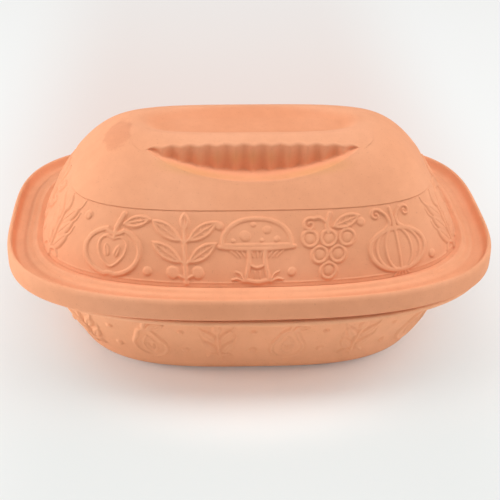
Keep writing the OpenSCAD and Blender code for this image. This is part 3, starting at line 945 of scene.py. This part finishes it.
def floor_material(name):
    """A pale floor. To the camera it also glows by itself, so that it fades to the studio's white,
    least of all by the foot of the pot, where its shadow lies."""
    material, tree, shader = new_material(name, 1.0, 0.0)
    shader.inputs["Base Color"].default_value = (*lin(247, 246, 244), 1)
    place = object_place(tree)
    x, y, _ = add_node(tree, "ShaderNodeSeparateXYZ", {0: place}).outputs
    squares = [calc(tree, "POWER", calc(tree, "ABSOLUTE", calc(tree, "DIVIDE", value, half)), 2.0)
               for value, half in zip((x, y), SHADOW)]
    near = step(tree, calc(tree, "SQRT", calc(tree, "ADD", *squares)), GLOW_REACH, GLOW_SHARE)
    far = step(tree, length_of(tree, place), GLOW_FAR, (0.0, 1.0))
    glow = calc(tree, "MAXIMUM", near, far)
    # the tone along the middle is painted shadow and painted light thrown by the clay
    middle = ramp(tree, step(tree, y, GLOW_LINE, (0.0, 1.0), "LINEAR"), GLOW_MIDDLE_PAINTED_SHADE)
    to_middle = step(tree, calc(tree, "ABSOLUTE", x), SIDE_REACH, (1.0, 0.0))
    tone = blend(tree, to_middle, (*GLOW_SIDE, 1), middle, "MIX")
    shine = add_node(tree, "ShaderNodeEmission", {0: tone})
    share = calc(tree, "MULTIPLY", glow, seen(tree))
    both = add_node(tree, "ShaderNodeMixShader",
                    {0: share, 1: shader.outputs[0], 2: shine.outputs[0]})
    tree.links.new(both.outputs[0], tree.nodes["Material Output"].inputs[0])
    return material


# The lid's pieces are drawn in where their edge would stand out of the solid lid's box
low_end, high_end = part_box("lid")
edge = turned(ring(*oval(np.linspace(0, 2 * math.pi, 7200), RIM, RIM_POWER), 0.0))
lid_fit = np.ones(3)
for axis in (0, 1):
    room = min(high_end[axis], -low_end[axis]) * 1000
    lid_fit[axis] = min(1.0, room / edge[:, axis].max())

# The pieces, each in place of its node
LID_CLAY = clay_material("clay_lid", LID_TINTS, LID_MARKS_AND_PAINTED_LIGHT)
POT_CLAY = clay_material("clay_pot", POT_TINTS_AND_PAINTED_LIGHT)
for name, made, node_name, material, fit in (
        ("lid_top", lid_top(), "lid", LID_CLAY, lid_fit),
        ("lid_rim", lid_rim(), "lid", LID_CLAY, lid_fit),
        ("lid_frieze_back", lid_frieze(0), "lid", LID_CLAY, lid_fit),
        ("lid_frieze_front", lid_frieze(1), "lid", LID_CLAY, lid_fit),
        ("pot_wall", pot_wall(), "pot", POT_CLAY, 1.0),
        ("pot_shell", pot_shell(), "pot", POT_CLAY, 1.0)):
    points, quads, tris = made
    ob = mesh_piece(name, points * fit, quads, tris)
    ob.data.materials.append(material)
    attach(ob, "root")
    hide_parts(node_name)

# The floor
floor_mesh = bpy.data.meshes.new("floor")
corners = [(x * FLOOR_HALF, y * FLOOR_HALF, 0) for x, y in ((-1, -1), (1, -1), (1, 1), (-1, 1))]
floor_mesh.from_pydata(corners, [], [(0, 1, 2, 3)])
floor = bpy.data.objects.new("floor", floor_mesh)
floor.data.materials.append(floor_material("floor_white"))
bpy.context.scene.collection.objects.link(floor)

# The lamps, in metres and watts
LAMP_DISTANCE = 1.8
AIM = (0, 0, 0.06)
# how far round from the front and how high, in degrees, how wide, and how strong
LAMPS = (("front_low", 0, 12, 0.8, 3.6), ("right_low", 90, 12, 0.8, 7.6),
         ("left_low", 270, 12, 0.8, 20.0), ("front", 0, 35, 1.0, 3.9), ("right", 90, 35, 1.0, 7.6),
         ("right_high", 90, 62, 1.0, 4.8), ("left_high", 270, 62, 1.0, 8.2))


def lamp(name, place, size, energy):
    """A round soft lamp that points at the roaster."""
    light = bpy.data.lights.new(name, "AREA")
    light.shape = "DISK"
    light.size = size
    light.energy = energy
    ob = bpy.data.objects.new(name, light)
    ob.location = place
    ob.rotation_euler = (Vector(AIM) - Vector(place)).to_track_quat("-Z", "Y").to_euler()
    bpy.context.scene.collection.objects.link(ob)


lamp("top", (0, 0, LAMP_DISTANCE), 1.0, 12.0)
for name, round_degrees, high_degrees, size, energy in LAMPS:
    a, e = math.radians(round_degrees), math.radians(high_degrees)
    flat = LAMP_DISTANCE * math.cos(e)
    place = (flat * math.sin(a), -flat * math.cos(a), AIM[2] + LAMP_DISTANCE * math.sin(e))
    lamp(name, place, size, energy)

# A pale studio round it, which the camera sees but which throws no light
world = bpy.data.worlds.new("studio")
bpy.context.scene.world = world
world.use_nodes = True
background = world.node_tree.nodes["Background"]
background.inputs[0].default_value = (0.9, 0.9, 0.9, 1)
world.node_tree.links.new(seen(world.node_tree), background.inputs[1])

# The camera: the photograph is PHOTO pixels wide, and FOCAL is in such pixels. It looks at LOOK_AT
# from DISTANCE, both in millimetres. It looks DOWN by an angle, stands AROUND towards -X by
# another, and has a slight ROLL.
PHOTO, SENSOR, FOCAL, DISTANCE = 500, 36.0, 1093.34, 820.8
LOOK_AT = (1.58, 0, 50.85)
DOWN, AROUND, ROLL = math.radians(31.71), math.radians(3.41), math.radians(-1.34)
swing = Matrix.Rotation(-AROUND, 3, "Z")
forward = Vector((0, math.cos(DOWN), -math.sin(DOWN)))
level_up = Vector((0, math.sin(DOWN), math.cos(DOWN)))
level_right = Vector((1, 0, 0))
right = level_right * math.cos(ROLL) - level_up * math.sin(ROLL)
up = level_right * math.sin(ROLL) + level_up * math.cos(ROLL)
place = Vector(LOOK_AT) - forward * DISTANCE
axes = swing @ Matrix((right, up, -forward)).transposed()
cam = bpy.data.cameras.new("camera")
cam.sensor_width = SENSOR
cam.lens = FOCAL * SENSOR / PHOTO
cam.clip_start, cam.clip_end = 0.01, 20
cam_ob = bpy.data.objects.new("camera", cam)
cam_ob.matrix_world = Matrix.Translation((swing @ place) / 1000) @ axes.to_4x4()
bpy.context.scene.collection.objects.link(cam_ob)
bpy.context.scene.camera = cam_ob
bpy.context.scene.view_settings.view_transform = "Standard"
